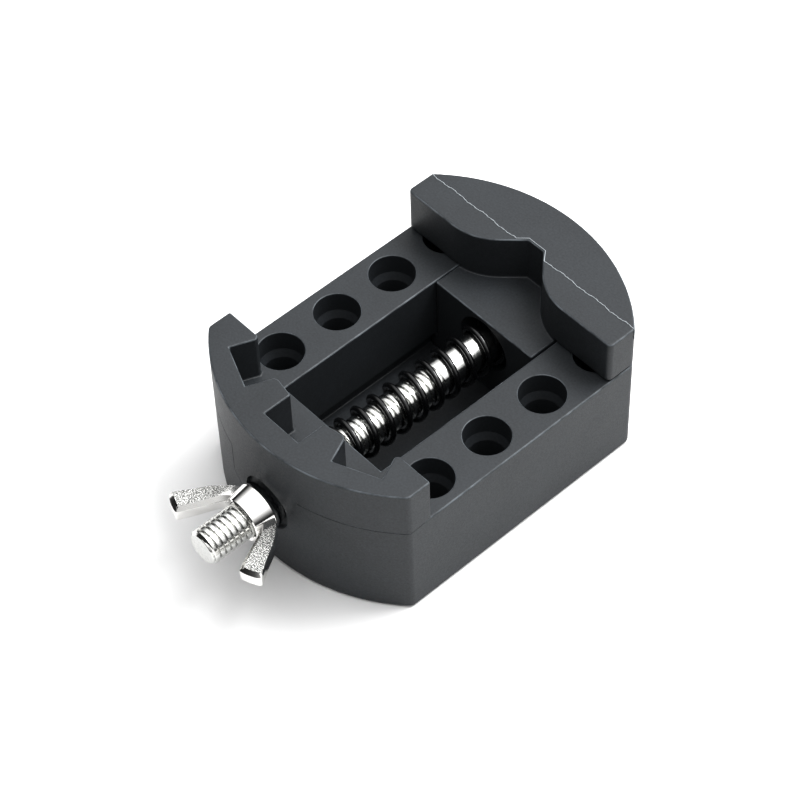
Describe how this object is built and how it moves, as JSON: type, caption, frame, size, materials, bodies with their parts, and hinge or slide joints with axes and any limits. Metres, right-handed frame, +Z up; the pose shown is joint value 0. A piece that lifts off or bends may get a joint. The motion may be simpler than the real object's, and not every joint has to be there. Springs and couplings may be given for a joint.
{
  "type": "pcb holder vise",
  "caption": "Small hand vise: a moving jaw slides between two peg rails towards a notched fixed jaw, drawn by a bolt and wing nut against a spring.",
  "frame": {"origin": "on the underside, at the centre of the circle that rounds both ends of the body", "axes": "+Y along the bolt from the wing nut to the moving jaw, +Z up out of the rails, +X across"},
  "size_m": [0.045, 0.0771, 0.0277],
  "materials": {
    "body_plastic": "dark slate-grey ABS, fine moulded texture, slight satin sheen",
    "bolt_steel": "bright zinc-plated rolled thread",
    "spring_wire": "black oxide, oiled and glossy",
    "nut_zinc": "bright nickel-plated die casting, faintly grainy wings"
  },
  "bodies": {
    "body": {"fixed_body": "body_plastic", "return_spring": "spring_wire"},
    "jaw": {"moving_jaw": "body_plastic", "clamp_bolt": "bolt_steel"},
    "nut": {"wing_nut": "nut_zinc"}
  },
  "joints": [
    {"name": "wing_spin", "type": "hinge", "parent": "body", "child": "nut", "pos_m": [0, -0.035, 0.0131], "axis": [0, 1, 0], "range_deg": [0, 9000]},
    {"name": "jaw_slide", "type": "slide", "parent": "body", "child": "jaw", "axis": [0, -1, 0], "range_m": [0, 0.025], "deforming": ["return_spring"]}
  ],
  "couplings": [
    {"joint": "wing_spin", "follows": "jaw_slide", "rad_per_m": 6283.2}
  ]
}
